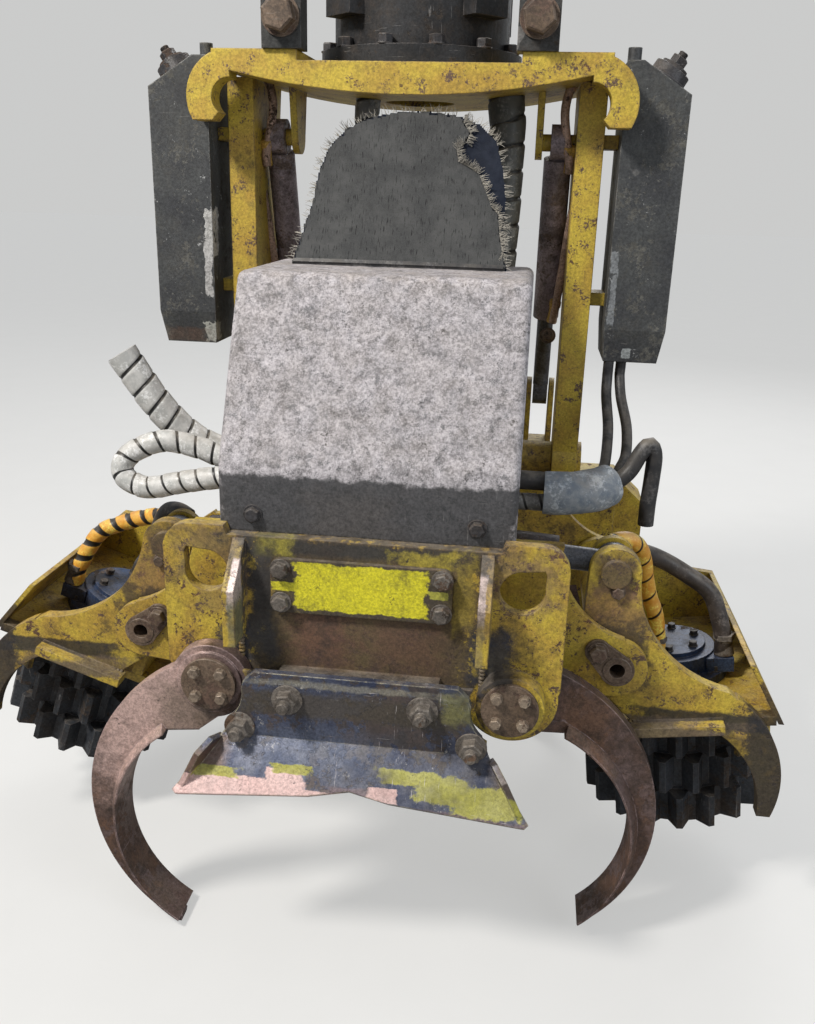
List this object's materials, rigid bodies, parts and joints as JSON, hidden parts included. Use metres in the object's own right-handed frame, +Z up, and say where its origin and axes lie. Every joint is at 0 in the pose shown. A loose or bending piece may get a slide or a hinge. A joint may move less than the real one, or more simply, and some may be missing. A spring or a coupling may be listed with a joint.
{
  "type": "harvester head",
  "caption": "Tree-felling and delimbing head with curved knives, toothed feed rollers, a swinging chainsaw bar, a tilt frame and a rotator with its hanger.",
  "frame": {"origin": "centre of the bounding box on the floor, with the head lying level on its knife tips as parked", "axes": "+Y the way the stem is fed, from the fixed knife to the saw; +X to the right of that; +Z up"},
  "size_m": [1.4488, 1.06, 1.792],
  "materials": {
    "yellow_paint": "worn, rust and dirt showing through",
    "black_paint": "faded black paint with dust",
    "rusty_steel": "bare steel, brown rust and polished patches",
    "bare_steel": "worn bright, blued and dirty",
    "dark_steel": "oily dark steel",
    "rod_chrome": "polished piston rod",
    "belt_rubber": "grey belt with frayed fabric",
    "hose_rubber": "matt black hose with a spiral guard",
    "tank_plastic": "black moulded tank with grey scuffs",
    "chain_steel": "oiled chain"
  },
  "bodies": {
    "head_frame": {"front_plate": "yellow_paint", "front_cover": "yellow_paint", "fixed_knife": "bare_steel", "beam_sides": "yellow_paint", "beam_deck": "yellow_paint", "beam_floor": "yellow_paint", "cylinder_anchors": "yellow_paint", "tilt_pivots": "yellow_paint", "rod_lugs": "yellow_paint", "front_bracket": "yellow_paint", "rear_bracket": "yellow_paint", "frame_pins": "dark_steel", "valve_block": "dark_steel", "valve_solenoids": "dark_steel", "hood": "black_paint", "rubber_flap": "belt_rubber", "measuring_arm": "yellow_paint", "saw_box": "yellow_paint", "saw_motor": "dark_steel", "hose_left_upper": "hose_rubber", "hose_left_lower": "hose_rubber", "hose_right_sleeve": "hose_rubber", "hose_right_pair": "hose_rubber", "hose_rise": "hose_rubber"},
    "measuring_wheel": {"measuring_wheel": "bare_steel"},
    "saw_bar": {"saw_bar": "bare_steel", "saw_chain": "chain_steel"},
    "front_knife_left": {"front_knife_left": "rusty_steel"},
    "front_knife_right": {"front_knife_right": "rusty_steel"},
    "rear_knife_left": {"rear_knife_left": "rusty_steel"},
    "rear_knife_right": {"rear_knife_right": "rusty_steel"},
    "tilt_frame": {"tilt_frame": "yellow_paint", "stop_blocks": "dark_steel", "dye_tank_left": "tank_plastic", "dye_tank_right": "tank_plastic", "rotator_flange": "dark_steel"},
    "rotator": {"rotator": "dark_steel"},
    "hanger": {"hanger": "dark_steel"},
    "roller_arm_left": {"roller_arm_left": "yellow_paint", "roller_deck_left": "yellow_paint", "hub_motor_left": "dark_steel", "motor_hose_left": "hose_rubber"},
    "feed_roller_left": {"feed_roller_left": "dark_steel"},
    "arm_cylinder_left": {"arm_cylinder_left": "dark_steel"},
    "arm_rod_left": {"arm_rod_left": "rod_chrome"},
    "tilt_cylinder_left": {"tilt_cylinder_left": "dark_steel"},
    "tilt_rod_left": {"tilt_rod_left": "rod_chrome"},
    "roller_arm_right": {"roller_arm_right": "yellow_paint", "roller_deck_right": "yellow_paint", "hub_motor_right": "dark_steel", "motor_hose_right": "hose_rubber"},
    "feed_roller_right": {"feed_roller_right": "dark_steel"},
    "arm_cylinder_right": {"arm_cylinder_right": "dark_steel"},
    "arm_rod_right": {"arm_rod_right": "rod_chrome"},
    "tilt_cylinder_right": {"tilt_cylinder_right": "dark_steel"},
    "tilt_rod_right": {"tilt_rod_right": "rod_chrome"}
  },
  "joints": [
    {"name": "front_knife_left_swing", "type": "hinge", "parent": "head_frame", "child": "front_knife_left", "pos_m": [-0.1981, -0.41903, 0.456], "axis": [0, -1, 0], "range_deg": [-20, 50]},
    {"name": "front_knife_right_swing", "type": "hinge", "parent": "head_frame", "child": "front_knife_right", "pos_m": [0.2519, -0.35903, 0.456], "axis": [0, 1, 0], "range_deg": [-11, 59]},
    {"name": "rear_knife_left_swing", "type": "hinge", "parent": "head_frame", "child": "rear_knife_left", "pos_m": [-0.1981, 0.23097, 0.456], "axis": [0, -1, 0], "range_deg": [-20, 50]},
    {"name": "rear_knife_right_swing", "type": "hinge", "parent": "head_frame", "child": "rear_knife_right", "pos_m": [0.2519, 0.23097, 0.456], "axis": [0, 1, 0], "range_deg": [-20, 50]},
    {"name": "roller_arm_left_swing", "type": "hinge", "parent": "head_frame", "child": "roller_arm_left", "pos_m": [-0.3611, -0.11903, 0.461], "axis": [0, -1, 0], "range_deg": [-1, 56]},
    {"name": "feed_roller_left_spin", "type": "hinge", "parent": "roller_arm_left", "child": "feed_roller_left", "pos_m": [-0.50343, -0.07703, 0.37865], "axis": [0.309, 0, 0.9511], "continuous": true},
    {"name": "arm_cylinder_left_swing", "type": "hinge", "parent": "head_frame", "child": "arm_cylinder_left", "pos_m": [-0.0251, -0.23703, 0.634], "axis": [0, -1, 0], "range_deg": [-1.04, 3.15]},
    {"name": "arm_rod_left_slide", "type": "slide", "parent": "arm_cylinder_left", "child": "arm_rod_left", "axis": [-0.996, 0, -0.0899], "range_m": [-0.00455, 0.14469]},
    {"name": "roller_arm_right_swing", "type": "hinge", "parent": "head_frame", "child": "roller_arm_right", "pos_m": [0.4149, -0.11903, 0.461], "axis": [0, 1, 0], "range_deg": [-12, 45]},
    {"name": "feed_roller_right_spin", "type": "hinge", "parent": "roller_arm_right", "child": "feed_roller_right", "pos_m": [0.5389, -0.07703, 0.353], "axis": [-0.1219, 0, 0.9925], "continuous": true},
    {"name": "arm_cylinder_right_swing", "type": "hinge", "parent": "head_frame", "child": "arm_cylinder_right", "pos_m": [0.0789, -0.23703, 0.634], "axis": [0, 1, 0], "range_deg": [-1.95, 4.58]},
    {"name": "arm_rod_right_slide", "type": "slide", "parent": "arm_cylinder_right", "child": "arm_rod_right", "axis": [0.9979, 0, -0.0651], "range_m": [-0.03252, 0.11645]},
    {"name": "tilt_frame_tilt", "type": "hinge", "parent": "head_frame", "child": "tilt_frame", "pos_m": [0.0269, 0.08097, 0.689], "axis": [1, 0, 0], "range_deg": [0, 80], "deforming": ["hose_left_upper", "hose_left_lower", "hose_right_sleeve", "hose_right_pair", "hose_rise"]},
    {"name": "tilt_cylinder_left_swing", "type": "hinge", "parent": "tilt_frame", "child": "tilt_cylinder_left", "pos_m": [-0.2191, 0.10097, 1.246], "axis": [1, 0, 0], "range_deg": [-9.51, 1]},
    {"name": "tilt_rod_left_slide", "type": "slide", "parent": "tilt_cylinder_left", "child": "tilt_rod_left", "axis": [0, 0.2912, -0.9567], "range_m": [-0.002, 0.2265]},
    {"name": "tilt_cylinder_right_swing", "type": "hinge", "parent": "tilt_frame", "child": "tilt_cylinder_right", "pos_m": [0.2729, 0.10097, 1.246], "axis": [1, 0, 0], "range_deg": [-9.51, 1]},
    {"name": "tilt_rod_right_slide", "type": "slide", "parent": "tilt_cylinder_right", "child": "tilt_rod_right", "axis": [0, 0.2912, -0.9567], "range_m": [-0.002, 0.2265]},
    {"name": "rotator_turn", "type": "hinge", "parent": "tilt_frame", "child": "rotator", "pos_m": [0.0269, 0.13797, 1.382], "axis": [0, 0, 1], "continuous": true},
    {"name": "hanger_swing", "type": "hinge", "parent": "rotator", "child": "hanger", "pos_m": [0.0269, 0.13797, 1.634], "axis": [1, 0, 0], "range_deg": [-60, 60]},
    {"name": "saw_bar_swing", "type": "hinge", "parent": "head_frame", "child": "saw_bar", "pos_m": [-0.1681, 0.37897, 0.511], "axis": [0, 1, 0], "range_deg": [0, 100]},
    {"name": "measuring_wheel_spin", "type": "hinge", "parent": "head_frame", "child": "measuring_wheel", "pos_m": [0.0269, -0.05903, 0.384], "axis": [1, 0, 0], "continuous": true}
  ],
  "couplings": [
    {"joint": "arm_cylinder_left_swing", "follows": "roller_arm_left_swing", "ratio": 0.038455},
    {"joint": "arm_rod_left_slide", "follows": "roller_arm_left_swing", "m_per_rad": 0.14599},
    {"joint": "arm_cylinder_right_swing", "follows": "roller_arm_right_swing", "ratio": 0.079526},
    {"joint": "arm_rod_right_slide", "follows": "roller_arm_right_swing", "m_per_rad": 0.14572},
    {"joint": "tilt_cylinder_left_swing", "follows": "tilt_frame_tilt", "ratio": -0.10631},
    {"joint": "tilt_rod_left_slide", "follows": "tilt_frame_tilt", "m_per_rad": 0.16079},
    {"joint": "tilt_cylinder_right_swing", "follows": "tilt_frame_tilt", "ratio": -0.10631},
    {"joint": "tilt_rod_right_slide", "follows": "tilt_frame_tilt", "m_per_rad": 0.16079}
  ]
}
